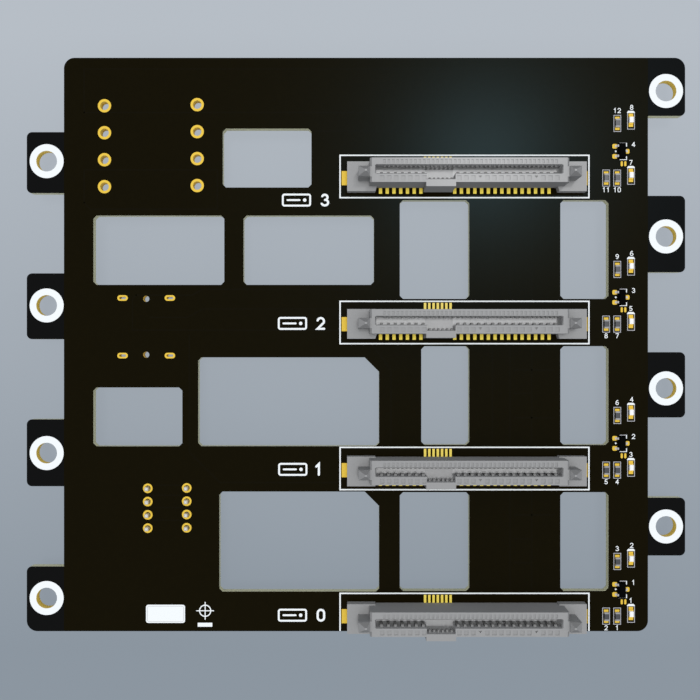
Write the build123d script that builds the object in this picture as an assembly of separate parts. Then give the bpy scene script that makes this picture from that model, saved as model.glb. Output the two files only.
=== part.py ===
from build123d import *
import os

# Drive backplane board, lying with its component side up.
# All sizes are millimetres. The origin is the middle of the footprint, at the lowest point.
# Four drive receptacles stand on the board; two wire headers hang below it and set its height.

# Circuit board
board_thickness = 1.6
board_length = 110.0
board_width = 108.0
board_corner_radius = 2.0
tab_reach = 7.0
tab_corner_radius = 1.0
mounting_hole_diameter = 3.9
left_hole_setback = 3.75
right_hole_setback = 3.6

# Fixing tabs on each side: lower edge, upper edge and height of the screw hole
left_tabs = (
    (-board_width / 2, -41.8, -47.75),
    (-26.7, -14.1, -20.45),
    (1.0, 13.4, 7.35),
    (28.5, 40.0, 34.53),
)
right_tabs = (
    (-39.75, -28.85, -34.27),
    (-13.75, -1.45, -8.27),
    (13.6, 28.0, 20.35),
    (43.05, board_width / 2, 47.74),
)

# Air windows
window_corner_cut = 0.6
large_corner_cut = 2.7
bay_window_height = 18.6
bay_window_rise = 4.75
wide_window_left = 8.26
narrow_window_left = 12.3
near_window_right = 21.34
far_window_left = 38.5
far_window_right = 47.56

# Windows beside the receptacles: left, right, lower and upper edge
plain_windows = (
    (-25.08, -8.38, 29.57, 40.66),
    (-49.45, -24.8, 11.23, 24.28),
    (-21.18, 3.38, 11.23, 24.28),
    (-49.45, -32.7, -19.18, -8.1),
)
large_windows = (
    (-29.7, 4.35, -19.15, -2.43),
    (-25.72, 4.35, -46.53, -27.7),
)

# Holes for the power sockets: place of each column's top hole
power_columns = ((-47.36, 44.96), (-29.9, 45.17))
power_hole_diameter = 1.6
power_hole_pitch = 5.08
power_hole_count = 4

# Slots and locating holes for the data socket
socket_centre_x = -39.5
socket_centre_y = 3.33
slot_spacing_x = 8.91
slot_spacing_y = 10.85
plated_slot_length = 1.3
plated_slot_width = 0.45
locating_hole_spacing = 10.53
locating_hole_diameter = 1.17

# Receptacles, one for each drive bay
bay_count = 4
bay_pitch = 27.5
receptacle_centre_x = 20.5
top_receptacle_y = 31.33

# Receptacle housing: ears that lie on the board, reaching past the guide posts
ear_left_overhang = 2.05
ear_right_overhang = 2.2
ear_depth = 5.53
ear_height = 1.75
ear_slant = 0.25
ear_slant_length = 0.8
ear_inner_shift = 0.25

# Receptacle housing: shroud round the drive slot
shroud_height = 6.0
left_end_wall = 1.1
right_end_wall = 1.3
slot_end_clearance = 0.775
slot_width = 1.5
slot_lead_in = 0.12
slot_end_lead_in = 0.2
slot_offset = 0.47
slot_floor_height = 1.75
front_wall = 1.61
rear_wall = 1.32
floor_clearance = 0.3
foot_width = 0.64
end_chamfer = 0.35

# Key in the front wall, between the two contact groups
key_recess_length = 5.2
key_recess_depth = 1.0
key_wall = 1.38
key_side_cover = 0.1

# Guide posts at both ends of the shroud
post_width = 2.1
post_depth = 1.85
post_shoulder_height = 6.5
post_height = 7.4
post_tip_size = 0.35
post_tip_lean = 0.3

# Spring contacts
contact_pitch = 1.27
contact_places = 26
signal_contact_count = 7
key_gap_contacts = 4
second_port_pitch = 0.8
second_port_count = 7
contact_thickness = 0.2
contact_width = 0.5
second_port_width = 0.36
contact_side_clearance = 0.05
pocket_depth = 0.35
pocket_top = 5.3
contact_tip_height = 4.95
contact_bulge_height = 4.1
contact_bulge = 0.32
tail_cover = 0.12

# Solder anchors under the ears
anchor_width = 2.3
anchor_length = 2.6
anchor_blade_height = 1.2
anchor_thickness = 0.2
anchor_end_cover = 0.25

# Wire headers on the back of the board: place of each header's first pin
header_columns = ((-39.21, -27.09), (-31.87, -27.02))
header_pin_pitch = 2.5
header_pin_count = 4
header_height = 7.0
header_depth = 5.75
header_end_margin = 2.45
header_pin_offset = 0.525
header_wall = 0.7
header_floor = 1.6
header_key_width = 1.6
header_key_inset = 2.6
header_pin_size = 0.64
header_pin_rise = 1.4
header_pin_recess = 1.0
header_pin_taper = 0.15
header_hole_diameter = 1.1

# Small parts in each bay, placed from the receptacle's middle
chip_length = 1.6
chip_width = 0.8
resistor_height = 0.45
resistor_cap_length = 0.3
resistor_body_step = 0.04
led_height = 0.6
led_base_height = 0.25
led_lens_length = 1.1
led_terminal_length = 0.3
led_lens_draft_degrees = 8
resistor_places = ((28.7, 0.01), (26.62, 0.01), (28.73, 10.31))
led_places = ((31.28, 0.52), (31.28, 10.91))
transistor_place = (29.47, 5.05)

# Transistor case and leads
case_length = 2.9
case_width = 1.3
case_height = 1.0
case_lift = 0.05
case_draft = 0.12
lead_spacing = 0.95
lead_span = 2.4
lead_width = 0.4
lead_thickness = 0.12
lead_height = 0.5
lead_foot_length = 0.4

# Heights and places that follow
board_back_z = header_height
board_top_z = board_back_z + board_thickness
contact_row_length = (contact_places - 1) * contact_pitch + contact_width
slot_length = contact_row_length + 2 * slot_end_clearance
shroud_left_reach = slot_length / 2 + left_end_wall
shroud_right_reach = slot_length / 2 + right_end_wall
ear_left_reach = shroud_left_reach + post_width + ear_left_overhang
ear_right_reach = shroud_right_reach + post_width + ear_right_overhang
slot_rear = slot_offset + slot_width / 2
slot_front = slot_offset - slot_width / 2
shroud_rear = slot_rear + rear_wall
shroud_front = slot_front - front_wall
key_centre = -key_gap_contacts * contact_pitch


def block(x_range, y_range, z_range):
    """Box between two limits along each axis."""
    sizes = [high - low for low, high in (x_range, y_range, z_range)]
    middles = [(high + low) / 2 for low, high in (x_range, y_range, z_range)]
    return Pos(*middles) * Box(*sizes)


def along_x(outline, x_range):
    """Bar with one side view, given as (y, z) points, between two places along X."""
    face = Plane.YZ * make_face(Polyline(*outline, close=True))
    return Pos(x_range[0], 0, 0) * extrude(face, x_range[1] - x_range[0])


def along_y(outline, y_range):
    """Bar with one front view, given as (x, z) points, between two places along Y."""
    face = Plane.XZ * make_face(Polyline(*outline, close=True))
    return Pos(0, y_range[1], 0) * extrude(face, y_range[1] - y_range[0])


def strip_outline(path, thickness):
    """Outline of a bent strip whose middle line runs through the given points."""
    points = [Vector(*point) for point in path]
    steps = [(after - before).normalized() for before, after in zip(points, points[1:])]
    left_side = []
    right_side = []
    for index, point in enumerate(points):
        before = steps[max(index - 1, 0)]
        after = steps[min(index, len(steps) - 1)]
        middle = (before + after).normalized()
        normal = Vector(-middle.Y, middle.X)
        reach = thickness / 2 / normal.dot(Vector(-after.Y, after.X))
        left_side.append(point + normal * reach)
        right_side.append(point - normal * reach)
    return [(point.X, point.Y) for point in left_side + right_side[::-1]]


def save(name, shapes):
    """Write one node as a STEP file."""
    solids = [solid for shape in shapes for solid in shape.solids()]
    export_step(solids[0] if len(solids) == 1 else Compound(solids), f"parts/{name}.step")


# Circuit board

def tab_outline(side, low, high):
    """One fixing tab, its outer corners rounded."""
    overlap = tab_reach
    width = tab_reach + overlap
    middle_x = side * (board_length / 2 + tab_reach - width / 2)
    face = Pos(middle_x, (low + high) / 2) * Rectangle(width, high - low)
    for end in (low, high):
        at_board_corner = abs(end) == board_width / 2
        radius = board_corner_radius if at_board_corner else tab_corner_radius
        corner = Vector(side * (board_length / 2 + tab_reach), end, 0)
        face = fillet(face.vertices().sort_by_distance(corner)[0], radius)
    return face


def board_outline():
    """Board with its tabs, rounded at the corners that no tab covers."""
    face = Rectangle(board_length, board_width)
    for corner in ((-board_length / 2, board_width / 2), (board_length / 2, -board_width / 2)):
        face = fillet(face.vertices().sort_by_distance(Vector(*corner, 0))[0], board_corner_radius)
    for low, high, _ in left_tabs:
        face += tab_outline(-1, low, high)
    for low, high, _ in right_tabs:
        face += tab_outline(1, low, high)
    return face


def window(left, right, low, high, upper_right_cut=window_corner_cut):
    """Air window with its corners cut off at 45 degrees."""
    face = Pos((left + right) / 2, (low + high) / 2) * Rectangle(right - left, high - low)
    corners = face.vertices().sort_by_distance(Vector(right, high, 0))
    face = chamfer(corners[0], upper_right_cut)
    return chamfer(face.vertices().sort_by_distance(Vector(right, high, 0))[2:], window_corner_cut)


def bay_windows(bay):
    """The two windows below one receptacle and above the next."""
    low = receptacle_y(bay) - bay_pitch + bay_window_rise
    left = narrow_window_left if bay == 2 else wide_window_left
    near = window(left, near_window_right, low, low + bay_window_height)
    far = window(far_window_left, far_window_right, low, low + bay_window_height)
    return near + far


def mounting_hole_places():
    """Centre of the screw hole in each tab."""
    left_x = -board_length / 2 - tab_reach + left_hole_setback
    right_x = board_length / 2 + tab_reach - right_hole_setback
    left = [(left_x, height) for _, _, height in left_tabs]
    return left + [(right_x, height) for _, _, height in right_tabs]


def hole_column(column, pitch, count):
    """Places of one column of holes, counted down from its top hole."""
    return [(column[0], column[1] - pitch * index) for index in range(count)]


def small_holes():
    """Holes and slots for the sockets that are fitted from the back."""
    holes = Sketch()
    for column in power_columns:
        for place in hole_column(column, power_hole_pitch, power_hole_count):
            holes += Pos(*place) * Circle(power_hole_diameter / 2)
    for column in header_columns:
        for place in hole_column(column, header_pin_pitch, header_pin_count):
            holes += Pos(*place) * Circle(header_hole_diameter / 2)
    for up in (-1, 1):
        hole_y = socket_centre_y + up * locating_hole_spacing / 2
        holes += Pos(socket_centre_x, hole_y) * Circle(locating_hole_diameter / 2)
        for across in (-1, 1):
            slot_x = socket_centre_x + across * slot_spacing_x / 2
            slot_y = socket_centre_y + up * slot_spacing_y / 2
            holes += Pos(slot_x, slot_y) * SlotOverall(plated_slot_length, plated_slot_width)
    return holes


def backplane_board():
    """Bare circuit board with its windows and holes."""
    face = board_outline()
    for edges in plain_windows:
        face -= window(*edges)
    for edges in large_windows:
        face -= window(*edges, large_corner_cut)
    for bay in range(1, bay_count):
        face -= bay_windows(bay)
    for place in mounting_hole_places():
        face -= Pos(*place) * Circle(mounting_hole_diameter / 2)
    face -= small_holes()
    return Pos(0, 0, board_back_z) * extrude(face, board_thickness)


# Drive receptacle, drawn round its own middle on the board's top face

def receptacle_y(bay):
    """Height up the board of one bay's receptacle; bay 0 is the lowest."""
    return top_receptacle_y - (bay_count - 1 - bay) * bay_pitch


def on_bay(bay, shape):
    """Move a shape from the receptacle's own middle to one bay."""
    return Pos(receptacle_centre_x, receptacle_y(bay), board_top_z) * shape


def lower_contact_places():
    """Places along X of the signal contacts and of the power contacts."""
    places = [contact_pitch * (index - (contact_places - 1) / 2) for index in range(contact_places)]
    first_power = signal_contact_count + key_gap_contacts
    return places[:signal_contact_count], places[first_power:]


def second_port_places():
    """Places along X of the contacts in the rear wall."""
    first = key_centre - second_port_pitch * (second_port_count - 1) / 2
    return [first + second_port_pitch * index for index in range(second_port_count)]


def shroud_bar():
    """Rear wall, floor and front wall in one side view, along the slot."""
    outline = (
        (shroud_rear, 0),
        (shroud_rear, shroud_height),
        (slot_rear + slot_lead_in, shroud_height),
        (slot_rear, shroud_height - slot_lead_in),
        (slot_rear, slot_floor_height),
        (slot_front, slot_floor_height),
        (slot_front, shroud_height - slot_lead_in),
        (slot_front - slot_lead_in, shroud_height),
        (shroud_front, shroud_height),
        (shroud_front, floor_clearance),
        (shroud_rear - foot_width, floor_clearance),
        (shroud_rear - foot_width, 0),
    )
    return along_x(outline, (-slot_length / 2, slot_length / 2))


def shroud_reach(side):
    """Distance from the receptacle's middle to one end of the shroud."""
    return shroud_right_reach if side > 0 else shroud_left_reach


def ear_reach(side):
    """Distance from the receptacle's middle to the end of one ear."""
    return ear_right_reach if side > 0 else ear_left_reach


def shroud_end(side):
    """Closed end of the shroud, chamfered along its top edge."""
    inner = slot_length / 2
    outer = shroud_reach(side)
    outline = (
        (side * inner, 0),
        (side * outer, 0),
        (side * outer, shroud_height - end_chamfer),
        (side * (outer - end_chamfer), shroud_height),
        (side * inner, shroud_height),
    )
    return along_y(outline, (shroud_front, shroud_rear))


def end_lead_in(side):
    """Slope that guides the plug in at one end of the slot."""
    inner = slot_length / 2
    outline = (
        (side * inner, shroud_height - slot_end_lead_in),
        (side * (inner + slot_end_lead_in), shroud_height),
        (side * inner, shroud_height),
    )
    return along_y(outline, (slot_front, slot_rear))


def ear(side):
    """Flat ear that carries a guide post and lies on the board."""
    inner = side * slot_length / 2 + ear_inner_shift
    outer = side * ear_reach(side)
    edge = ear_depth / 2
    outline = (
        (outer, -edge),
        (inner + side * ear_slant, -edge),
        (inner, ear_slant_length - edge),
        (inner, edge - ear_slant_length),
        (inner + side * ear_slant, edge),
        (outer, edge),
    )
    return extrude(make_face(Polyline(*outline, close=True)), ear_height)


def post_view(size, tip_lean):
    """Outline of a guide post from one side, its tip moved off the middle."""
    half = size / 2
    return (
        (-half, 0),
        (half, 0),
        (half, post_shoulder_height),
        (tip_lean + post_tip_size / 2, post_height),
        (tip_lean - post_tip_size / 2, post_height),
        (-half, post_shoulder_height),
    )


def guide_post(side):
    """Upright post with a pointed tip, joined to the end of the shroud."""
    depth_range = (-post_depth / 2, post_depth / 2)
    middle = side * (shroud_reach(side) + post_width / 2)
    front = along_y(post_view(post_width, -side * post_tip_lean), depth_range)
    post = front & along_x(post_view(post_depth, 0), (-post_width / 2, post_width / 2))
    bridge_x = sorted((middle, side * (shroud_reach(side) - end_chamfer)))
    return Pos(middle, 0, 0) * post + block(bridge_x, depth_range, (0, shroud_height))


def key_bump():
    """Thickened front wall behind the key recess, down to the board."""
    half = key_recess_length / 2 + key_side_cover
    front = slot_front - key_recess_depth - key_wall
    x_range = (key_centre - half, key_centre + half)
    return block(x_range, (front, shroud_front + foot_width), (0, shroud_height))


def key_recess():
    """Space in the front wall for the key of the drive's plug."""
    half = key_recess_length / 2
    front = slot_front - key_recess_depth
    outline = (
        (slot_front, slot_floor_height),
        (slot_front, shroud_height),
        (front - slot_lead_in, shroud_height),
        (front, shroud_height - slot_lead_in),
        (front, slot_floor_height),
    )
    return along_x(outline, (key_centre - half, key_centre + half))


def pockets(places, width, face_y, side):
    """Pockets in a slot wall for one row of contacts, and the slit that lets them through the floor."""
    half = width / 2 + contact_side_clearance
    back = face_y + side * pocket_depth
    slit_range = sorted((back, face_y - side * contact_bulge))
    comb = block((places[0] - half, places[-1] + half), slit_range, (0, slot_floor_height))
    for place in places:
        comb += block((place - half, place + half), sorted((back, face_y)), (0, pocket_top))
    return comb


def tail_relief():
    """Space under the rear wall for the tails of the second port."""
    places = second_port_places()
    half = second_port_width / 2 + contact_side_clearance
    y_range = (slot_rear, shroud_rear - tail_cover)
    return block((places[0] - half, places[-1] + half), y_range, (0, 2 * contact_thickness))


def housing():
    """Moulded housing of one receptacle."""
    body = shroud_bar() + key_bump()
    for side in (-1, 1):
        body += shroud_end(side) + ear(side) + guide_post(side)
    body -= key_recess() + end_lead_in(-1) + end_lead_in(1)
    for places in lower_contact_places():
        body -= pockets(places, contact_width, slot_front, -1)
    body -= pockets(second_port_places(), second_port_width, slot_rear, 1)
    body -= tail_relief()
    for side in (-1, 1):
        body -= anchor(side)
    return body


def contact(place, width, face_y, side, tail_end):
    """Spring contact: tail on the board, heel in its pocket, beam that bulges into the slot."""
    heel_y = face_y + side * (pocket_depth - contact_thickness / 2)
    bulge_y = face_y - side * (contact_bulge - contact_thickness / 2)
    tail_z = contact_thickness / 2
    path = (
        (tail_end, tail_z),
        (heel_y, tail_z),
        (bulge_y, contact_bulge_height),
        (heel_y, contact_tip_height),
    )
    outline = strip_outline(path, contact_thickness)
    return along_x(outline, (place - width / 2, place + width / 2))


def lower_contacts(places):
    """Contacts in the front wall, their tails ending under it."""
    tail_end = shroud_front + tail_cover
    return [contact(place, contact_width, slot_front, -1, tail_end) for place in places]


def second_port_contacts():
    """Contacts in the rear wall, their tails ending under it."""
    tail_end = shroud_rear - tail_cover
    places = second_port_places()
    return [contact(place, second_port_width, slot_rear, 1, tail_end) for place in places]


def anchor(side):
    """Solder anchor: a foot on the board and a blade up into the ear."""
    outer = ear_reach(side) - anchor_end_cover
    inner = outer - anchor_length
    outline = (
        (side * outer, 0),
        (side * outer, anchor_thickness),
        (side * (inner + anchor_thickness), anchor_thickness),
        (side * (inner + anchor_thickness), anchor_blade_height),
        (side * inner, anchor_blade_height),
        (side * inner, 0),
    )
    return along_y(outline, (-anchor_width / 2, anchor_width / 2))


# Wire headers, drawn round their first pin on the board's back face

def on_header(column, shape):
    """Move a shape from a header's first pin to its place under the board."""
    return Pos(column[0], column[1], board_back_z) * shape


def header_shell():
    """Open box round the pins, with two key slots in its front wall."""
    pin_row = header_pin_pitch * (header_pin_count - 1)
    length = pin_row + 2 * header_end_margin
    middle = Pos(header_pin_offset, -pin_row / 2, 0)
    outer = extrude(Rectangle(header_depth, length), -header_height)
    cavity = Rectangle(header_depth - 2 * header_wall, length - 2 * header_wall)
    shell = outer - Pos(0, 0, -header_floor) * extrude(cavity, header_floor - header_height)
    wall_range = (header_depth / 2 - header_wall, header_depth / 2)
    for end in (-1, 1):
        key_y = end * (length / 2 - header_key_inset)
        key_range = (key_y - header_key_width / 2, key_y + header_key_width / 2)
        shell -= block(wall_range, key_range, (-header_height, -header_floor))
    shell = middle * shell
    half = header_pin_size / 2
    for index in range(header_pin_count):
        pin_y = -index * header_pin_pitch
        shell -= block((-half, half), (pin_y - half, pin_y + half), (-header_floor, 0))
    return shell


def header_pins():
    """Square pins through the header's floor and the board, tapered at the top."""
    low = header_pin_recess - header_height
    high = board_thickness + header_pin_rise
    pin = extrude(Rectangle(header_pin_size, header_pin_size), high - low)
    pin = chamfer(pin.faces().sort_by(Axis.Z)[-1].edges(), header_pin_taper)
    pin = Pos(0, 0, low) * pin
    return [Pos(0, -index * header_pin_pitch, 0) * pin for index in range(header_pin_count)]


# Small parts on the board's top face, drawn round their own middles, long side along Y

def chip_ends(length, height):
    """The two metal ends of a chip part."""
    half = chip_width / 2
    ends = []
    for end in (-1, 1):
        outer = end * chip_length / 2
        ends.append(block((-half, half), sorted((outer, outer - end * length)), (0, height)))
    return ends


def resistor_body():
    """Ceramic body between the end caps, a little lower than they are."""
    inner = chip_length / 2 - resistor_cap_length
    z_range = (resistor_body_step, resistor_height - resistor_body_step)
    return block((-chip_width / 2, chip_width / 2), (-inner, inner), z_range)


def led_body():
    """Base between the terminals with a tapered lens on top."""
    inner = chip_length / 2 - led_terminal_length
    base = block((-chip_width / 2, chip_width / 2), (-inner, inner), (0, led_base_height))
    lens_foot = Pos(0, 0, led_base_height) * Rectangle(chip_width, led_lens_length)
    lens = extrude(lens_foot, led_height - led_base_height, taper=led_lens_draft_degrees)
    return base + lens


def transistor_case():
    """Moulded case that tapers to its top."""
    foot = Pos(0, 0, case_lift) * Rectangle(case_width, case_length)
    top = Pos(0, 0, case_lift + case_height) * Rectangle(
        case_width - 2 * case_draft, case_length - 2 * case_draft
    )
    return loft([foot.face(), top.face()], ruled=True)


def transistor_lead(side, place):
    """Gull-wing lead from the side of the case down to the board."""
    wall = case_width / 2 - case_draft
    shin = lead_span / 2 - lead_foot_length
    path = (
        (side * wall, lead_height),
        (side * shin, lead_height),
        (side * shin, lead_thickness / 2),
        (side * lead_span / 2, lead_thickness / 2),
    )
    outline = strip_outline(path, lead_thickness)
    return along_y(outline, (place - lead_width / 2, place + lead_width / 2)) - transistor_case()


def transistor_leads():
    """Two leads on the left and one on the right."""
    places = ((-1, lead_spacing), (-1, -lead_spacing), (1, 0))
    return [transistor_lead(side, place) for side, place in places]


# Write the nodes

os.makedirs("parts", exist_ok=True)

save("backplane_board", [backplane_board()])

housing_shape = housing()
signal_places, power_places = lower_contact_places()
signal_shapes = lower_contacts(signal_places)
power_shapes = lower_contacts(power_places)
second_shapes = second_port_contacts()
anchor_shapes = [anchor(side) for side in (-1, 1)]
cap_shapes = chip_ends(resistor_cap_length, resistor_height)
terminal_shapes = chip_ends(led_terminal_length, led_base_height)

led_number = 0
resistor_number = 0
led_terminal_group = []
resistor_cap_group = []
transistor_lead_group = []

for bay in range(bay_count):
    save(f"receptacle_{bay}_housing", [on_bay(bay, housing_shape)])
    save(f"receptacle_{bay}_signal_contacts", [on_bay(bay, shape) for shape in signal_shapes])
    save(f"receptacle_{bay}_power_contacts", [on_bay(bay, shape) for shape in power_shapes])
    save(f"receptacle_{bay}_second_port_contacts", [on_bay(bay, shape) for shape in second_shapes])
    save(f"receptacle_{bay}_solder_anchors", [on_bay(bay, shape) for shape in anchor_shapes])
    for place in led_places:
        led_number += 1
        save(f"led_{led_number}", [on_bay(bay, Pos(*place) * led_body())])
        led_terminal_group += [on_bay(bay, Pos(*place) * shape) for shape in terminal_shapes]
    for place in resistor_places:
        resistor_number += 1
        save(f"resistor_{resistor_number}", [on_bay(bay, Pos(*place) * resistor_body())])
        resistor_cap_group += [on_bay(bay, Pos(*place) * shape) for shape in cap_shapes]
    save(f"transistor_{bay + 1}", [on_bay(bay, Pos(*transistor_place) * transistor_case())])
    transistor_lead_group += [
        on_bay(bay, Pos(*transistor_place) * shape) for shape in transistor_leads()
    ]

save("led_terminals", led_terminal_group)
save("resistor_end_caps", resistor_cap_group)
save("transistor_leads", transistor_lead_group)

for number, column in enumerate(header_columns, start=1):
    save(f"header_{number}_shell", [on_header(column, header_shell())])
    save(f"header_{number}_pins", [on_header(column, pin) for pin in header_pins()])
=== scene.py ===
import math

import bmesh
import bpy
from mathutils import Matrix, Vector


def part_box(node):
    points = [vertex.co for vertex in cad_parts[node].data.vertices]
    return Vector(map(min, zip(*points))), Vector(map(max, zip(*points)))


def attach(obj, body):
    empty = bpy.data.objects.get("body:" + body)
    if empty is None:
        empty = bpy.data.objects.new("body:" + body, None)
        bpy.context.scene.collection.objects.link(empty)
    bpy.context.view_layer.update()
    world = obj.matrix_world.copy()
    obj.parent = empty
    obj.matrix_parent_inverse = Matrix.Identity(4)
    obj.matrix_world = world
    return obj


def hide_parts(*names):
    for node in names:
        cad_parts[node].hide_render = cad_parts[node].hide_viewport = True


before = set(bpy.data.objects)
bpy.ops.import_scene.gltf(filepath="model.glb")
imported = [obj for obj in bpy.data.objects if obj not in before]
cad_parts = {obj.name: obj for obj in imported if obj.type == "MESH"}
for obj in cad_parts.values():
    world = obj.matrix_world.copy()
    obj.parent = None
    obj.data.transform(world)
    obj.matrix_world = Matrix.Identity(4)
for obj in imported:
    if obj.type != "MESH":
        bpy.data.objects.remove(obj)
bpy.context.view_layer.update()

# Drive backplane board, component side up. Sizes are in millimetres, apart from floor and lamps.
MM = 0.001

# Thickness of copper and of print, and the step that keeps crossing shapes out of one plane
COPPER = 0.035
PRINT = 0.02
LAYER = 0.004

# Faces, lower edge and tabs of the board, and the tops of the copper and the print on it
board_low, board_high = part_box("backplane_board")
BOARD_BACK = board_low[2] / MM
BOARD_TOP = board_high[2] / MM
BOARD_EDGE_Y = board_low[1] / MM
EDGE_MARGIN = 0.05
TAB_START_X = 55.0
PRINT_TOP = BOARD_TOP + PRINT
COPPER_TOP = BOARD_TOP + COPPER
COPPER_BACK = BOARD_BACK - COPPER
BOTH_FACES = ((BOARD_TOP, COPPER_TOP), (COPPER_BACK, BOARD_BACK))

# Receptacles: one for each bay, and their contacts counted from the left
BAY_COUNT = 4
BAY_PITCH = 27.5
RECEPTACLE_X = 20.5
TOP_RECEPTACLE_Y = 31.33
CONTACT_PITCH = 1.27
MIDDLE_PLACE = 12.5
CONTACT_GROUPS = ((0, 6), (11, 25))
SERVED_PLACES = [index for first, last in CONTACT_GROUPS for index in range(first, last + 1)]
DIMPLED_PLACES = (14, 22)
SECOND_PITCH = 0.8
SECOND_CENTRE = -5.08
SECOND_COUNT = 7

# Shroud and slot of a receptacle, from its own middle and up from the board
SHROUD_FRONT = -1.89
SHROUD_REAR = 2.54
SHROUD_TOP = 6.0
SLOT_FRONT = -0.28
SLOT_REAR = 1.22
SLOT_END = 17.0
SLOT_FLOOR = 1.75
# Height up from the board where the painted light on the slot walls is palest
PALEST_PAINTED_WALL = 3.2
LEAD_IN = 0.2
KEY_RECESS_FRONT = -1.28
KEY_RECESS_ENDS = (-7.68, -2.48)

# Limits by which a housing face is sorted for its painted shade or light: how near is on a plane,
# and the Z of its direction
NEAR = 0.05
TOP_MARGIN = 0.01
UPRIGHT_BELOW = 0.25
FLAT_ABOVE = 0.95

# Contact cavities of the rear wall and of the key recess, counted from the left
REAR_CAVITIES = 40
REAR_CAVITY_START = -15.275
REAR_CONTACTS = range(10, 17)
KEY_CAVITIES = 6

# Mouths of the cavities on top of the walls, and the notch that marks two of the places
REAR_MOUTH_Y = (SLOT_REAR + 0.26, SLOT_REAR + 0.98)
REAR_MOUTH_HALF = 0.225
FRONT_MOUTH_Y = (-1.57, -0.72)
FRONT_MOUTH_HALF = 0.375
MOUTH_SHIFT = 0.1
MOUTH_DEPTH = 0.14
NOTCH = ((-0.32, -0.77), (0.0, -1.19), (0.32, -0.77))
NOTCH_DEPTH = 0.3
CUT_HEADROOM = 0.3

# Strips that narrow the slits beside the contacts: how far they reach into slot and wall, their
# thickness and their drop below the floor, and how far they run past the end contacts
STRIP_REACH = 0.34
STRIP_OVERLAP = 0.02
STRIP_THICKNESS = 0.4
STRIP_DROP = 0.003
FRONT_STRIP_COVER = 0.35
REAR_STRIP_COVER = 0.25

# Pads and frame of a receptacle, along Y from its own middle
FRONT_PAD_Y = (-2.95, -0.95)
FRONT_PAD_HALF = 0.31
REAR_PAD_Y = (1.8, 4.03)
REAR_PAD_HALF = 0.23
EAR_PAD_Y = (-1.34, 1.33)
EAR_PADS_X = ((-2.7, 0.9), (40.1, 43.6))
FRAME_X = (-2.99, 43.88)
FRAME_Y = (-3.68, 4.3)
FRAME_LINE = 0.26

# Spring contacts in side view, (y, z), as distances from the wall that holds them
CONTACT_THICKNESS = 0.2
CONTACT_WIDTH = 0.5
SECOND_WIDTH = 0.36
TAIL_COVER = 0.12
FOOT = ((0.38, 0.1), (0.28, 0.2))
BEAM = ((0.24, 1.2), (0.18, 2.2))
STRONG_BEND = (
    (0.08, 3.4), (-0.16, 4.2), (-0.28, 4.7), (-0.30, 4.9), (-0.24, 5.05), (0.0, 5.2), (0.12, 5.25),
)
SLIGHT_BEND = (
    (0.10, 3.4), (-0.06, 4.2), (-0.16, 4.7), (-0.18, 4.9), (-0.13, 5.05), (0.04, 5.2), (0.14, 5.25),
)
FRONT_TAIL = (SLOT_FRONT - SHROUD_FRONT - TAIL_COVER, CONTACT_THICKNESS / 2)
REAR_TAIL = (SHROUD_REAR - SLOT_REAR - TAIL_COVER, CONTACT_THICKNESS / 2)
FRONT_CONTACT = (FRONT_TAIL, *FOOT, *BEAM, *STRONG_BEND)
REAR_CONTACT = (REAR_TAIL, *FOOT, *BEAM, *SLIGHT_BEND)

# Screw holes in the tabs, with their white rings
LEFT_SCREWS = (-58.25, (-47.75, -20.45, 7.35, 34.53))
RIGHT_SCREWS = (58.4, (-34.27, -8.27, 20.35, 47.74))
SCREW_RING_RADIUS = 3.2
SCREW_HOLE_RADIUS = 1.95
SCREW_STEPS = 64

# Columns of round plated holes: top holes, pitch, radius of pad and of hole
HOLES_PER_COLUMN = 4
HOLE_COLUMNS = (
    (((-47.36, 44.96), (-29.9, 45.17)), 5.08, 1.25, 0.8),
    (((-39.21, -27.09), (-31.87, -27.02)), 2.5, 0.9, 0.55),
)

# Plated slots and bare locating holes of the data socket
PLATED_SLOTS = [(x, y) for x in (-43.955, -35.045) for y in (8.755, -2.095)]
SLOT_PAD_SIZE = (1.97, 1.05)
PLATED_SLOT_SIZE = (1.3, 0.45)
LOCATING_HOLES = ((-39.5, -1.935), (-39.5, 8.595))
LOCATING_HOLE_RADIUS = 0.585
SLEEVE_GAP = 0.005

# Faint lines where the mask dips between copper areas
GAP_LINE_WIDTH = 0.25
GAP_LINES = [
    ((-51.2, 43.7), (-51.2, 51.9), (44.6, 51.9), (44.6, 36.6)),
    ((-51.2, 43.7), (41.7, 43.7)),
    ((-51.2, 26.7), (-51.2, 32.9), (-26.1, 32.9), (-26.1, 25.5), (-50.1, 25.5), (-51.2, 26.7)),
    ((-7.5, 40.2), (19.1, 40.2), (19.1, 36.6)),
    ((27.1, 39.5), (33.3, 39.5), (33.3, 36.6)),
    ((6.9, 27.2), (6.9, 14.5), (3.1, 10.4), (-28.9, 10.4), (-30.8, 9.3), (-41.4, 9.3)),
    ((-41.4, 9.3), (-42.1, 8.4), (-42.1, 2.7), (-3.2, 2.7)),
    ((-38.8, 5.1), (-31.7, 5.1), (-28.9, 6.7), (-3.2, 6.7)),
    ((-31.4, 1.8), (-31.4, -20.3), (-25.6, -26.0), (-3.4, -26.0)),
    ((3.1, -0.1), (6.6, -4.8), (6.6, -18.5)),
]
GAP_LINES += [((-38.1, y), (-33.0, y)) for y in (-26.5, -28.4, -30.7, -33.1)]
for x in (25.7, 29.0, 33.1):
    GAP_LINES += [((x, 26.8), (x, 8.9)), ((x, -0.5), (x, -18.6))]
GAP_LINES += [((x, -27.8), (x, -46.2)) for x in (29.0, 33.1)]
for y, right in (
    (-4.8, 37.3), (-9.2, 32.8), (-13.8, 37.3), (-32.1, 37.3), (-36.6, 32.8), (-41.1, 32.8),
):
    GAP_LINES.append(((29.8, y), (right, y)))

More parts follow.
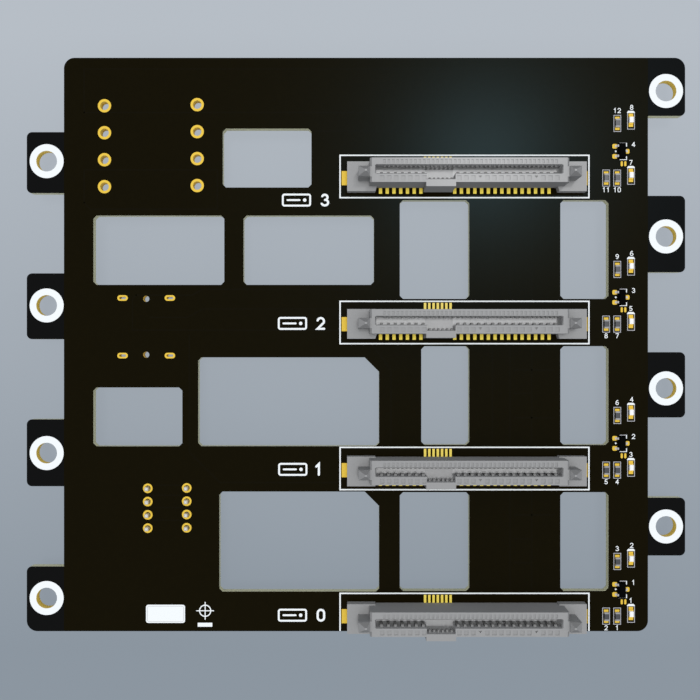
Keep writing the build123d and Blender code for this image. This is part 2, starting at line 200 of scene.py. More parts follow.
# Bay labels: numeral, its place along X, height up the board, middle of the drive outline
LABELS = (
    ("0", -6.60, -50.99, -11.96),
    ("1", -7.02, -23.52, -11.90),
    ("2", -6.63, 3.97, -11.96),
    ("3", -5.85, 27.20, -11.20),
)
LABEL_HEIGHT = 2.43
LABEL_LINE = 0.41
DRIVE_LENGTH = 5.5
DRIVE_LINE = 0.35
DRIVE_CORNER = 0.5
DRIVE_INNER_CORNER = 0.15
DRIVE_SLOT_X = (-1.7, 0.6)
DRIVE_LAMP_X = 1.55
DRIVE_LAMP_RADIUS = 0.33

# Marks near the lower edge
FIELD_CENTRE = (-35.87, -50.73)
FIELD_SIZE = (7.36, 3.43)
FIELD_CORNER = 0.45
BORDER_SIZE = (6.86, 2.93)
BORDER_LINE = 0.08
BORDER_CORNER = 0.3
TARGET_CENTRE = (-28.4, -50.15)
TARGET_RADIUS = 1.15
TARGET_INNER_RADIUS = 0.95
TARGET_LINE = 0.18
TARGET_BAR = ((-29.8, -27.06), (-53.16, -52.41))

# Lines of the target's cross: reach from its middle, and how far each stands above the print
TARGET_CROSS = (((1.6, 0), LAYER), ((0, 1.6), 2.6 * LAYER))

# Small parts, placed from the receptacle's middle, and their numbers, placed from the parts
RESISTORS = (
    ((28.7, 0.01), (0.0, -2.2)),
    ((26.62, 0.01), (0.0, -2.2)),
    ((28.73, 10.31), (-0.03, 2.42)),
)
LEDS = (((31.28, 0.52), (0.0, 2.42)), ((31.28, 10.91), (0.15, 2.42)))
TRANSISTOR_PLACE = (29.47, 5.05)
TRANSISTOR_NUMBER = (2.3, 1.3)
NUMBER_HEIGHT = 0.95
NUMBER_LINE = 0.14

# Pads and print of a chip part, from its own middle
CHIP_PAD_HALF = 0.42
CHIP_PAD_Y = (0.45, 1.25)
CHIP_LINE = 0.12
RESISTOR_BOX = (1.30, 3.06)
LED_BOX = (1.30, 3.24)
LED_BOX_SHIFT = (0.03, -0.06)
LED_CAP = ((-0.71, 1.36), (0.71, 1.36), (0.71, 1.52), (0.48, 1.78), (-0.48, 1.78), (-0.71, 1.52))

# Pads of a transistor and of the link below it: place, size and corner radius
TRANSISTOR_PADS = (
    ((-1.22, 0.95), (0.92, 0.86), 0.25),
    ((-1.22, -0.95), (0.92, 0.86), 0.25),
    ((1.18, 0.0), (0.74, 0.86), 0.25),
    ((0.09, -2.34), (0.40, 0.95), 0.18),
    ((0.76, -2.34), (0.40, 0.95), 0.18),
)
TRANSISTOR_DOT = (-1.04, 0.01)
TRANSISTOR_DOT_RADIUS = 0.17
TRANSISTOR_SIDE_X = (0.9, 1.08)
TRANSISTOR_SIDES_Y = ((0.90, 1.59), (-1.64, -0.92))
TRANSISTOR_END_X = (-0.3, 0.9)
TRANSISTOR_END_HALF = 0.07
TRANSISTOR_ENDS_Y = (-1.57, 1.55)

# Floor, its reach in metres and the places of its two tones in millimetres
FLOOR_REACH = 2.0
FLOOR_TONE_Y = (-60.0, 62.0)
FLOOR_TONES = ((0.262, 0.305, 0.352), (0.473, 0.515, 0.565))
FLOOR_OWN_LIGHT = 0.9

# Lamps: place and size in metres, power in watts
OVERHEAD_LAMP = ((0, 0.05, 1.2), 0.25, 5.4)
SHEEN_LAMP = ((0.160, 0.230, 0.86), 0.07, 2.3)

# Camera straight above the board, as in the photograph
CAMERA_PLACE = (-1.12, -1.04, 167.76)
CAMERA_LENS = 43.455
CAMERA_SENSOR = 36


# Places

def bay_y(bay):
    """Place of one bay's receptacle up the board; bay 0 is the lowest."""
    return TOP_RECEPTACLE_Y - (BAY_COUNT - 1 - bay) * BAY_PITCH


def contact_x(index):
    """Place along X of one signal or power contact, from the receptacle's middle."""
    return CONTACT_PITCH * (index - MIDDLE_PLACE)


def second_x(index):
    """Place along X of one second-port contact, from the receptacle's middle."""
    return SECOND_CENTRE + SECOND_PITCH * (index - (SECOND_COUNT - 1) / 2)


def rear_cavities():
    """Places along X of the cavities in the rear wall, from the receptacle's middle."""
    return [REAR_CAVITY_START + SECOND_PITCH * index for index in range(REAR_CAVITIES)]


def key_cavities():
    """Places along X of the cavities in the wall of the key recess."""
    first = SECOND_CENTRE - SECOND_PITCH * (KEY_CAVITIES - 1) / 2
    return [first + SECOND_PITCH * index for index in range(KEY_CAVITIES)]


def around(place, half):
    """Limits at one distance on both sides of a place."""
    return place - half, place + half


def moved(limits, distance):
    """Two limits, both moved by one distance."""
    return limits[0] + distance, limits[1] + distance


def moved_points(points, centre):
    """Outline drawn round its own middle, moved to a centre."""
    return [(centre[0] + x, centre[1] + y) for x, y in points]


# Outlines

def circle(centre, radius, steps=48):
    """Points round a circle."""
    return arc(centre, (radius, radius), 0, 360, steps)[:steps]


def arc(centre, reach, start, end, steps=8):
    """Points along an arc, its angles in degrees and its reach in X and Y."""
    turns = [math.radians(start + (end - start) * step / steps) for step in range(steps + 1)]
    return [
        (centre[0] + reach[0] * math.cos(turn), centre[1] + reach[1] * math.sin(turn))
        for turn in turns
    ]


def stadium(centre, size, steps=24):
    """Points round a slot that is long in X."""
    length, width = size
    straight = (length - width) / 2
    radii = (width / 2, width / 2)
    right = arc((centre[0] + straight, centre[1]), radii, -90, 90, steps)
    left = arc((centre[0] - straight, centre[1]), radii, 90, 270, steps)
    return right + left


def rounded_box(centre, size, radius, steps=6):
    """Points round a rectangle with round corners."""
    outline = []
    for quarter, (right, up) in enumerate(((1, 1), (-1, 1), (-1, -1), (1, -1))):
        x = centre[0] + right * (size[0] / 2 - radius)
        y = centre[1] + up * (size[1] / 2 - radius)
        outline += arc((x, y), (radius, radius), 90 * quarter, 90 * (quarter + 1), steps)
    return outline


# Shapes, each a pair of points and faces

def prism(outline, low, high):
    """Flat-topped body over an outline that runs anticlockwise."""
    count = len(outline)
    points = [(x, y, low) for x, y in outline] + [(x, y, high) for x, y in outline]
    faces = [tuple(range(count))[::-1], tuple(range(count, 2 * count))]
    for here in range(count):
        after = (here + 1) % count
        faces.append((here, after, after + count, here + count))
    return points, faces


def bar(x_range, y_range, z_range):
    """Plain bar between limits, for prints, pads and strips."""
    (x0, x1), (y0, y1) = x_range, y_range
    return prism(((x0, y0), (x1, y0), (x1, y1), (x0, y1)), *z_range)


def collar(outer, inner, low, high):
    """Body between an outer and an inner outline with as many points each."""
    count = len(outer)
    points = []
    for outline, height in ((outer, low), (outer, high), (inner, high), (inner, low)):
        points += [(x, y, height) for x, y in outline]
    faces = []
    for here in range(count):
        after = (here + 1) % count
        for band in range(4):
            lower = band * count
            upper = (band + 1) % 4 * count
            faces.append((lower + here, lower + after, upper + after, upper + here))
    return points, faces


def sleeve(outline, low, high):
    """Open sleeve along an outline, facing inwards."""
    count = len(outline)
    points = [(x, y, low) for x, y in outline] + [(x, y, high) for x, y in outline]
    faces = []
    for here in range(count):
        after = (here + 1) % count
        faces.append((here + count, after + count, after, here))
    return points, faces


def ribbon(path, width, low, high):
    """Flat line of one width along a path, with round ends; the sharpest corners are held back."""
    sharpest = 0.4
    points = [Vector(point) for point in path]
    steps = [(after - before).normalized() for before, after in zip(points, points[1:])]
    left = []
    right = []
    for index, point in enumerate(points):
        before = steps[max(index - 1, 0)]
        after = steps[min(index, len(steps) - 1)]
        middle = (before + after).normalized()
        normal = Vector((-middle.y, middle.x))
        reach = width / 2 / max(sharpest, normal.dot(Vector((-after.y, after.x))))
        left.append(point + normal * reach)
        right.append(point - normal * reach)
    outline = round_end(points[-1], steps[-1], width) + left[::-1]
    outline += round_end(points[0], -steps[0], width) + right
    return prism([tuple(point) for point in outline], low, high)


def round_end(point, direction, width):
    """Half circle of points that closes a line, its corners left to the sides."""
    sideways = Vector((direction.y, -direction.x))
    turns = [math.radians(turn) for turn in (30, 60, 90, 120, 150)]
    return [
        point + (sideways * math.cos(turn) + direction * math.sin(turn)) * (width / 2)
        for turn in turns
    ]


def ring_line(centre, size, line, low, high):
    """Closed line of one width with rounded corners."""
    radius = min(size) / 2
    outer = rounded_box(centre, (size[0] + line, size[1] + line), radius + line / 2)
    inner = rounded_box(centre, (size[0] - line, size[1] - line), max(0.01, radius - line / 2))
    return collar(outer, inner, low, high)


def on_side(shape, move):
    """Shape drawn in its side view, (y, z), with its height along X."""
    points, faces = shape
    return [(height + move[0], y + move[1], z + move[2]) for y, z, height in points], faces


# Strokes of the plain numerals, one unit high, as open lines and as closed rings
OPEN_STROKES = {
    "1": (((0.08, 0.76), (0.32, 1.0), (0.32, 0.0)),),
    "2": ((*arc((0.3, 0.7), (0.3, 0.3), 165, -30), (0.0, 0.0), (0.62, 0.0)),),
    "3": (
        arc((0.29, 0.755), (0.26, 0.245), 155, -85),
        arc((0.29, 0.27), (0.32, 0.27), 80, -155),
    ),
    "4": (((0.46, 0.0), (0.46, 1.0)), ((0.46, 1.0), (0.0, 0.3), (0.64, 0.3))),
    "5": (((0.56, 1.0), (0.1, 1.0), (0.06, 0.54), *arc((0.28, 0.31), (0.31, 0.31), 110, -150)),),
    "6": (arc((0.36, 0.3), (0.36, 0.7), 180, 70),),
    "7": (((0.0, 1.0), (0.6, 1.0), (0.2, 0.0)),),
    "9": (arc((0.24, 0.7), (0.36, 0.7), 0, -110),),
}
CLOSED_STROKES = {
    "0": (((0.3, 0.5), (0.6, 1.0)),),
    "6": (((0.3, 0.3), (0.6, 0.6)),),
    "8": (((0.3, 0.76), (0.5, 0.48)), ((0.3, 0.26), (0.6, 0.52))),
    "9": (((0.3, 0.7), (0.6, 0.6)),),
}
DIGIT_WIDTH = 0.6
DIGIT_ADVANCE = 0.95


def number(value, centre, height, line):
    """Printed number round a centre; its height includes the line's own width."""
    digits = str(value)
    scale = height - line
    advance = DIGIT_ADVANCE * scale
    left = centre[0] - (advance * (len(digits) - 1) + DIGIT_WIDTH * scale) / 2
    foot = centre[1] - scale / 2
    shapes = []
    for place, digit in enumerate(digits):
        start = left + advance * place
        for stroke in OPEN_STROKES.get(digit, ()):
            path = [(start + x * scale, foot + y * scale) for x, y in stroke]
            shapes.append(ribbon(path, line, BOARD_TOP, PRINT_TOP + LAYER * len(shapes)))
        for (x, y), (width, rise) in CLOSED_STROKES.get(digit, ()):
            middle = (start + x * scale, foot + y * scale)
            size = (width * scale, rise * scale)
            shapes.append(ring_line(middle, size, line, BOARD_TOP, PRINT_TOP + LAYER * len(shapes)))
    return shapes


# Pieces

def mesh_of(name, shapes):
    """Mesh from several shapes in millimetres."""
    points = []
    faces = []
    for shape_points, shape_faces in shapes:
        start = len(points)
        points += [Vector(point) * MM for point in shape_points]
        faces += [tuple(start + index for index in face) for face in shape_faces]
    mesh = bpy.data.meshes.new(name)
    mesh.from_pydata(points, [], faces)
    mesh.validate()
    mesh.update()
    return mesh


def piece(name, shapes, material, smooth=False):
    """One object from several shapes, fixed to the part."""
    mesh = mesh_of(name, shapes)
    if smooth:
        mesh.shade_smooth()
    thing = bpy.data.objects.new(name, mesh)
    bpy.context.scene.collection.objects.link(thing)
    mesh.materials.append(material)
    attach(thing, "root")
    return thing


# Shader nodes

def parts_of(material):
    """Nodes, links and main shader of a material."""
    nodes = material.node_tree.nodes
    return nodes, material.node_tree.links, nodes["Principled BSDF"]


def base_colour(shader):
    """Socket that feeds the shader's colour."""
    return shader.inputs["Base Color"].links[0].from_socket


def object_place(nodes):
    """Place of the shaded point on the part."""
    return nodes.new("ShaderNodeTexCoord").outputs["Object"]


def axes_of(nodes, links, vector):
    """X, Y and Z of a place or a direction."""
    split = nodes.new("ShaderNodeSeparateXYZ")
    links.new(vector, split.inputs["Vector"])
    return split.outputs


def calculate(nodes, links, operation, value, *others):
    """Result of one calculation; value is a socket, the others are sockets or numbers."""
    node = nodes.new("ShaderNodeMath")
    node.operation = operation
    links.new(value, node.inputs[0])
    for socket, other in zip(node.inputs[1:], others):
        if isinstance(other, bpy.types.NodeSocket):
            links.new(other, socket)
        else:
            socket.default_value = other
    return node.outputs["Value"]


def share_between(nodes, links, value, start, end):
    """How far a value has come from start to end, held at both ends."""
    span = nodes.new("ShaderNodeMapRange")
    span.inputs["From Min"].default_value = start
    span.inputs["From Max"].default_value = end
    links.new(value, span.inputs["Value"])
    return span.outputs["Result"]


def mix_by(nodes, links, factor, first, second):
    """Colour that goes from first to second with a factor; either may be a socket."""
    blend = nodes.new("ShaderNodeMix")
    blend.data_type = "RGBA"
    links.new(factor, blend.inputs["Factor"])
    for key, colour in (("A", first), ("B", second)):
        if isinstance(colour, bpy.types.NodeSocket):
            links.new(colour, blend.inputs[key])
        else:
            blend.inputs[key].default_value = (*colour, 1)
    return blend.outputs["Result"]


def mix_shaders(nodes, links, factor, first, second, output):
    """Join a shader that goes from first to second with a factor to the named output node."""
    blend = nodes.new("ShaderNodeMixShader")
    links.new(factor, blend.inputs["Fac"])
    links.new(first, blend.inputs[1])
    links.new(second, blend.inputs[2])
    links.new(blend.outputs["Shader"], nodes[output].inputs["Surface"])


# Finishes

def finish(name, colour, roughness, metallic=0.0, specular=0.5, grain=0.4, tone=0.08, relief=0.05):
    """Shader whose colour and surface vary with a fine grain, its size in millimetres."""
    material = bpy.data.materials.new(name)
    material.use_nodes = True
    nodes, links, shader = parts_of(material)
    shader.inputs["Roughness"].default_value = roughness
    shader.inputs["Metallic"].default_value = metallic
    shader.inputs["Specular IOR Level"].default_value = specular
    noise = nodes.new("ShaderNodeTexNoise")
    noise.inputs["Scale"].default_value = 1 / (grain * MM)
    noise.inputs["Detail"].default_value = 4
    links.new(object_place(nodes), noise.inputs["Vector"])
    darker = [channel * (1 - tone) for channel in colour]
    lighter = [min(1, channel * (1 + tone)) for channel in colour]
    grained = mix_by(nodes, links, noise.outputs["Fac"], darker, lighter)
    links.new(grained, shader.inputs["Base Color"])
    bump = nodes.new("ShaderNodeBump")
    bump.inputs["Strength"].default_value = relief
    bump.inputs["Distance"].default_value = 0.05 * MM
    links.new(noise.outputs["Fac"], bump.inputs["Height"])
    links.new(bump.outputs["Normal"], shader.inputs["Normal"])
    return material


def plastic(name, grey, roughness=0.6, specular=0.1, tone=0.05):
    """Grey moulded plastic of the receptacles."""
    return finish(name, (grey, grey, grey), roughness, specular=specular, grain=0.35, tone=tone)


def solder_mask(name, colour):
    """Dark mask whose sheen is a little blue."""
    material = finish(name, colour, 0.26, specular=0.03, grain=0.9, tone=0.1)
    parts_of(material)[2].inputs["Specular Tint"].default_value = (0.46, 0.85, 1.0, 1)
    return material


def board_finish():
    """Solder mask on both faces, more neutral on the tabs, and laminate at every cut edge."""
    material = solder_mask("board_mask", (0.0075, 0.0051, 0.0009))
    nodes, links, shader = parts_of(material)
    place = object_place(nodes)
    across = calculate(nodes, links, "ABSOLUTE", axes_of(nodes, links, place)["X"])
    on_tab = calculate(nodes, links, "GREATER_THAN", across, TAB_START_X * MM)
    face = mix_by(nodes, links, on_tab, base_colour(shader), (0.0060, 0.0055, 0.0052))
    normal = nodes.new("ShaderNodeNewGeometry").outputs["True Normal"]
    upright = calculate(nodes, links, "ABSOLUTE", axes_of(nodes, links, normal)["Z"])
    edge = calculate(nodes, links, "LESS_THAN", upright, 0.5)
    layers = nodes.new("ShaderNodeTexWave")
    layers.bands_direction = "Z"
    layers.inputs["Scale"].default_value = 1600
    layers.inputs["Distortion"].default_value = 1.5
    links.new(place, layers.inputs["Vector"])
    laminate = mix_by(nodes, links, layers.outputs["Fac"], (0.60, 0.59, 0.38), (0.74, 0.73, 0.50))
    links.new(mix_by(nodes, links, edge, face, laminate), shader.inputs["Base Color"])
    return material


def slot_wall_finish():
    """Walls of the slot with painted light: paler with depth, to cancel the shade that falls deep
    in the slot.
    """
    material = plastic("painted_light_slot_wall", 0.36, roughness=0.8, specular=0.0)
    nodes, links, shader = parts_of(material)
    height = axes_of(nodes, links, object_place(nodes))["Z"]
    ends = ((BOARD_TOP + SHROUD_TOP) * MM, (BOARD_TOP + PALEST_PAINTED_WALL) * MM)
    depth = share_between(nodes, links, height, *ends)
    grey = mix_by(nodes, links, depth, base_colour(shader), (0.64, 0.64, 0.64))
    links.new(grey, shader.inputs["Base Color"])
    return material


def slot_floor_finish():
    """Floor of the slot with painted light: pale to cancel its shade, paler up the board as a
    painted highlight, and a little darker where the key recess widens it.
    """
    material = plastic("painted_light_slot_floor", 0.66, roughness=0.8, specular=0.0)
    nodes, links, shader = parts_of(material)
    axes = axes_of(nodes, links, object_place(nodes))
    painted_highlight_up_board = share_between(nodes, links, axes["Y"], bay_y(1) * MM, bay_y(3) * MM)
    pale = mix_by(nodes, links, painted_highlight_up_board, base_colour(shader), (0.95, 0.95, 0.95))
    key_painted_light = mix_by(nodes, links, painted_highlight_up_board, (0.56, 0.56, 0.56), (0.80, 0.80, 0.80))
    key_left, key_right = KEY_RECESS_ENDS
    key_middle = (RECEPTACLE_X + (key_left + key_right) / 2) * MM
    in_key = calculate(
        nodes, links, "COMPARE", axes["X"], key_middle, (key_right - key_left) / 2 * MM
    )
    links.new(mix_by(nodes, links, in_key, pale, key_painted_light), shader.inputs["Base Color"])
    return material


mask_finish = board_finish()
mask_line_finish = solder_mask("mask_lines", (0.0079, 0.0057, 0.0019))
gilt_finish = finish(
    "gilt_pads", (0.86, 0.58, 0.065), 0.55, metallic=0.1, specular=0.2, grain=0.25, tone=0.06
)
# Contact pads with painted light: brighter than the other gold pads, to cancel the housing's shade
# beside them
contact_pad_painted_light = finish(
    "contact_pads_painted_light", (1.0, 0.765, 0.095), 0.5, specular=0.8, grain=0.25, tone=0.03
)
barrel_finish = finish("gilt_barrels", (0.92, 0.70, 0.14), 0.5, specular=0.1, grain=0.2, tone=0.06)
white_finish = finish("white_print", (0.93, 0.965, 0.97), 0.6, specular=0.2, grain=0.2, tone=0.015)
pale_finish = finish("pale_print", (0.50, 0.50, 0.525), 0.6, specular=0.3, grain=0.2, tone=0.05)
tin_finish = finish("tinned", (0.80, 0.80, 0.79), 0.35, metallic=0.5, grain=0.2, tone=0.06)
lead_finish = finish(
    "tinned_leads", (0.56, 0.55, 0.56), 0.5, metallic=0.2, specular=0.2, grain=0.2, tone=0.06
)
housing_finish = finish(
    "housing_top", (0.33, 0.33, 0.328), 0.29, specular=0.21, grain=0.35, tone=0.05
)
# Housing faces: the top has the plastic's own finish; walls, slopes and edges are darker copies of
# it as painted shade, and the slot's walls and floor have painted light
HOUSING_FINISH_AND_PAINTED_LIGHT_AND_SHADE = {
    "top": housing_finish,
    "wall": plastic("housing_wall_painted_shade", 0.285, roughness=0.8, specular=0.0),
    "front_slope": plastic("housing_front_slope_painted_shade", 0.20),
    "side_slope": plastic("housing_side_slope_painted_shade", 0.27),
    "rear_edge_painted_shade": plastic("rear_edge_painted_shade", 0.17, tone=0.1),
    "front_edge_painted_shade": plastic("front_edge_painted_shade", 0.18, tone=0.1),
    "painted_light_slot_floor": slot_floor_finish(),
    "painted_light_slot_wall": slot_wall_finish(),
}
contact_finish = finish(
    "contact_strip", (0.27, 0.268, 0.262), 0.5, metallic=0.1, specular=0.2, grain=0.2, tone=0.08
)
lens_finish = finish("lens", (0.98, 0.98, 0.975), 0.3, specular=0.3, grain=0.3, tone=0.01)
ceramic_finish = finish("chip_ceramic", (0.055, 0.055, 0.06), 0.35, grain=0.15, tone=0.15)
cap_finish = finish(
    "chip_caps", (0.34, 0.34, 0.35), 0.5, metallic=0.1, specular=0.2, grain=0.15, tone=0.08
)
case_finish = finish(
    "transistor_case", (0.003, 0.003, 0.003), 0.5, specular=0.0, grain=0.2, tone=0.15
)
header_finish = finish("header_shell", (0.76, 0.74, 0.68), 0.5, grain=0.4, tone=0.03)


def finish_of(name):
    """Finish that one CAD node gets."""
    if name == "backplane_board":
        return mask_finish
    if name.endswith("_housing"):
        return housing_finish
    if name.endswith("_contacts"):
        return contact_finish
    if name == "led_terminals":
        return gilt_finish
    if name == "resistor_end_caps":
        return cap_finish
    if name.startswith("resistor_"):
        return ceramic_finish
    if name.startswith("led_"):
        return lens_finish
    if name == "transistor_leads":
        return lead_finish
    if name.endswith(("_anchors", "_pins")):
        return tin_finish
    if name.startswith("transistor_"):
        return case_finish
    return header_finish


for name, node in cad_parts.items():
    node.data.materials.clear()
    node.data.materials.append(finish_of(name))


# Plated holes, with a pad on both faces

def add_plating(pads, sleeves, pad, hole, lining):
    """Add one hole's pad on both faces, and the sleeve that lines the hole."""
    for low, high in BOTH_FACES:
        pads.append(collar(pad, hole, low, high))
    sleeves.append(sleeve(lining, COPPER_BACK, COPPER_TOP))


rings = []
pads = []
sleeves = []
for x, column in (LEFT_SCREWS, RIGHT_SCREWS):
    for y in column:
        radii = (SCREW_RING_RADIUS, SCREW_HOLE_RADIUS, SCREW_HOLE_RADIUS - SLEEVE_GAP)
        add_plating(rings, sleeves, *(circle((x, y), radius, SCREW_STEPS) for radius in radii))
for columns, pitch, pad_radius, hole_radius in HOLE_COLUMNS:
    for x, top_y in columns:
        for index in range(HOLES_PER_COLUMN):
            radii = (pad_radius, hole_radius, hole_radius - SLEEVE_GAP)
            place = (x, top_y - pitch * index)
            add_plating(pads, sleeves, *(circle(place, radius) for radius in radii))
lining_size = [size - 2 * SLEEVE_GAP for size in PLATED_SLOT_SIZE]
for place in PLATED_SLOTS:
    sizes = (SLOT_PAD_SIZE, PLATED_SLOT_SIZE, lining_size)
    add_plating(pads, sleeves, *(stadium(place, size) for size in sizes))
for place in LOCATING_HOLES:
    lining = circle(place, LOCATING_HOLE_RADIUS - SLEEVE_GAP)
    sleeves.append(sleeve(lining, BOARD_BACK, BOARD_TOP))
piece("screw_rings", rings, white_finish)
piece("hole_pads", pads, gilt_finish)
piece("hole_barrels", sleeves, barrel_finish, smooth=True)

gap_lines = [ribbon(line, GAP_LINE_WIDTH, BOARD_TOP, BOARD_TOP + LAYER) for line in GAP_LINES]
piece("copper_gap_lines", gap_lines, mask_line_finish)


# Receptacle pads and print

def top_bar(x_range, y_range, thickness):
    """Bar on the top face, cut off where it would run past the board's lower edge."""
    low = max(y_range[0], BOARD_EDGE_Y + EDGE_MARGIN)
    if low >= y_range[1]:
        return []
    return [bar(x_range, (low, y_range[1]), (BOARD_TOP, BOARD_TOP + thickness))]


def frame_lines(x_range, y_range, line):
    """Four printed lines round a rectangle, their middles on its edges."""
    half = line / 2
    ends = (x_range[0] - half, x_range[1] + half)
    lines = top_bar(ends, around(y_range[1], half), PRINT)
    lines += top_bar(ends, around(y_range[0], half), PRINT)
    for x in x_range:
        lines += top_bar(around(x, half), (y_range[0] + half, y_range[1] - half), PRINT)
    return lines


contact_pads_painted_light = []
ear_pads = []
outlines = []
for bay in range(BAY_COUNT):
    middle = bay_y(bay)
    for index in SERVED_PLACES:
        x_range = around(RECEPTACLE_X + contact_x(index), FRONT_PAD_HALF)
        contact_pads_painted_light += top_bar(x_range, moved(FRONT_PAD_Y, middle), COPPER)
    for index in range(SECOND_COUNT):
        x_range = around(RECEPTACLE_X + second_x(index), REAR_PAD_HALF)
        contact_pads_painted_light += top_bar(x_range, moved(REAR_PAD_Y, middle), COPPER)
    for x_range in EAR_PADS_X:
        ear_pads += top_bar(x_range, moved(EAR_PAD_Y, middle), COPPER)
    outlines += frame_lines(FRAME_X, moved(FRAME_Y, middle), FRAME_LINE)
piece("contact_pads_painted_light", contact_pads_painted_light, contact_pad_painted_light)
piece("ear_pads", ear_pads, gilt_finish)
piece("receptacle_outlines", outlines, white_finish)


# Receptacle housings with the mouths of their contact cavities

def mouth_cutters(bay):
    """Bars and wedges that cut the shallow mouths and the notches into the wall tops."""
    middle = bay_y(bay)
    top = BOARD_TOP + SHROUD_TOP
    z_range = (top - MOUTH_DEPTH, top + CUT_HEADROOM)
    cutters = []
    for place in rear_cavities():
        x_range = around(RECEPTACLE_X + place - MOUTH_SHIFT, REAR_MOUTH_HALF)
        cutters.append(bar(x_range, moved(REAR_MOUTH_Y, middle), z_range))
    for index in SERVED_PLACES:
        x = RECEPTACLE_X + contact_x(index) + MOUTH_SHIFT
        if index in DIMPLED_PLACES:
            outline = moved_points(NOTCH, (x, middle))
            cutters.append(prism(outline, top - NOTCH_DEPTH, top + CUT_HEADROOM))
        else:
            x_range = around(x, FRONT_MOUTH_HALF)
            cutters.append(bar(x_range, moved(FRONT_MOUTH_Y, middle), z_range))
    return cutters


def floor_strips(bay):
    """Slot floor beside the rows of contacts, so that each row stands in a narrow slit."""
    floor_top = BOARD_TOP + SLOT_FLOOR - STRIP_DROP
    z_range = (BOARD_TOP + SLOT_FLOOR - STRIP_THICKNESS, floor_top)
    front = moved((SLOT_FRONT - STRIP_OVERLAP, SLOT_FRONT + STRIP_REACH), bay_y(bay))
    rear = moved((SLOT_REAR - STRIP_REACH, SLOT_REAR + STRIP_OVERLAP), bay_y(bay))
    strips = []
    for first, last in CONTACT_GROUPS:
        ends = (contact_x(first) - FRONT_STRIP_COVER, contact_x(last) + FRONT_STRIP_COVER)
        strips.append(bar(moved(ends, RECEPTACLE_X), front, z_range))
    ends = (second_x(0) - REAR_STRIP_COVER, second_x(SECOND_COUNT - 1) + REAR_STRIP_COVER)
    strips.append(bar(moved(ends, RECEPTACLE_X), rear, z_range))
    return strips


def place_on_housing(polygon, middle):
    """Which part of the housing a face belongs to, by its middle and its direction, and so which
    painted shade or painted light it gets, if any.
    """
    x = polygon.center.x / MM - RECEPTACLE_X
    y = polygon.center.y / MM - middle
    z = polygon.center.z / MM - BOARD_TOP
    normal = polygon.normal
    upright = abs(normal.z) < UPRIGHT_BELOW
    flat = abs(normal.z) > FLAT_ABOVE
    in_slot = abs(x) < SLOT_END and SLOT_FRONT - LEAD_IN < y < SLOT_REAR + LEAD_IN
    beside_slot = KEY_RECESS_ENDS[0] - NEAR < x < KEY_RECESS_ENDS[1] + NEAR
    in_key = beside_slot and KEY_RECESS_FRONT - LEAD_IN < y < SLOT_FRONT
    inside = (in_slot or in_key) and SLOT_FLOOR - NEAR < z < SHROUD_TOP - TOP_MARGIN
    if flat:
        return "painted_light_slot_floor" if inside and z < SLOT_FLOOR + NEAR else "top"
    if inside and upright:
        return "painted_light_slot_wall"
    if inside:
        return "rear_edge_painted_shade" if y > (SLOT_FRONT + SLOT_REAR) / 2 else "front_edge_painted_shade"
    if upright:
        return "wall"
    return "front_slope" if abs(normal.y) > abs(normal.x) else "side_slope"


def welded_copy(name, source):
    """Copy of a mesh whose faces share their corners, as the cut needs."""
    welded = bmesh.new()
    welded.from_mesh(source)
    bmesh.ops.remove_doubles(welded, verts=welded.verts, dist=0.001 * MM)
    mesh = bpy.data.meshes.new(name)
    welded.to_mesh(mesh)
    welded.free()
    return mesh


def less(body, cutter):
    """Mesh of one object with another cut out of it; the second object is deleted."""
    modifier = body.modifiers.new("mouths", "BOOLEAN")
    modifier.operation = "DIFFERENCE"
    modifier.solver = "EXACT"
    modifier.object = cutter
    graph = bpy.context.evaluated_depsgraph_get()
    mesh = bpy.data.meshes.new_from_object(body.evaluated_get(graph))
    body.modifiers.clear()
    bpy.data.objects.remove(cutter)
    return mesh


def joined(name, meshes):
    """One flat-shaded mesh from several."""
    whole = bmesh.new()
    for mesh in meshes:
        whole.from_mesh(mesh)
    mesh = bpy.data.meshes.new(name)
    whole.to_mesh(mesh)
    whole.free()
    if "custom_normal" in mesh.attributes:
        mesh.attributes.remove(mesh.attributes["custom_normal"])
    mesh.shade_flat()
    return mesh


def cut_housing(bay):
    """Housing of one bay with its mouths cut, in place of the plain one."""
    name = f"receptacle_{bay}_housing"
    blank = welded_copy(f"housing_{bay}_blank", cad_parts[name].data)
    body = bpy.data.objects.new(f"housing_{bay}", blank)
    cutter = bpy.data.objects.new(f"mouths_{bay}", mesh_of(f"mouths_{bay}", mouth_cutters(bay)))
    for thing in (body, cutter):
        bpy.context.scene.collection.objects.link(thing)
    strips = mesh_of(f"strips_{bay}", floor_strips(bay))
    mesh = joined(f"housing_{bay}", (less(body, cutter), strips))
    for material in HOUSING_FINISH_AND_PAINTED_LIGHT_AND_SHADE.values():
        mesh.materials.append(material)
    # Each face gets the plastic's own finish, a painted shade or a painted light by its place and
    # direction
    order = list(HOUSING_FINISH_AND_PAINTED_LIGHT_AND_SHADE)
    for polygon in mesh.polygons:
        polygon.material_index = order.index(place_on_housing(polygon, bay_y(bay)))
    body.data = mesh
    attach(body, "root")
    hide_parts(name)


# Spring contacts

def front_spring(points, wall_y, width, place, middle):
    """One bent strip in a front wall, which lies at wall_y from the receptacle's middle."""
    return spring(points, wall_y, -1, width, place, middle)


def rear_spring(points, place, middle):
    """One bent strip in the rear wall."""
    return spring(points, SLOT_REAR, 1, SECOND_WIDTH, place, middle)


def spring(points, wall_y, side, width, place, middle):
    """One bent strip beside a wall; side is 1 in the rear wall and -1 in a front wall."""
    path = [(wall_y + side * out, up) for out, up in points]
    strip = ribbon(path, CONTACT_THICKNESS, *around(place, width / 2))
    return on_side(strip, (RECEPTACLE_X, middle, BOARD_TOP))


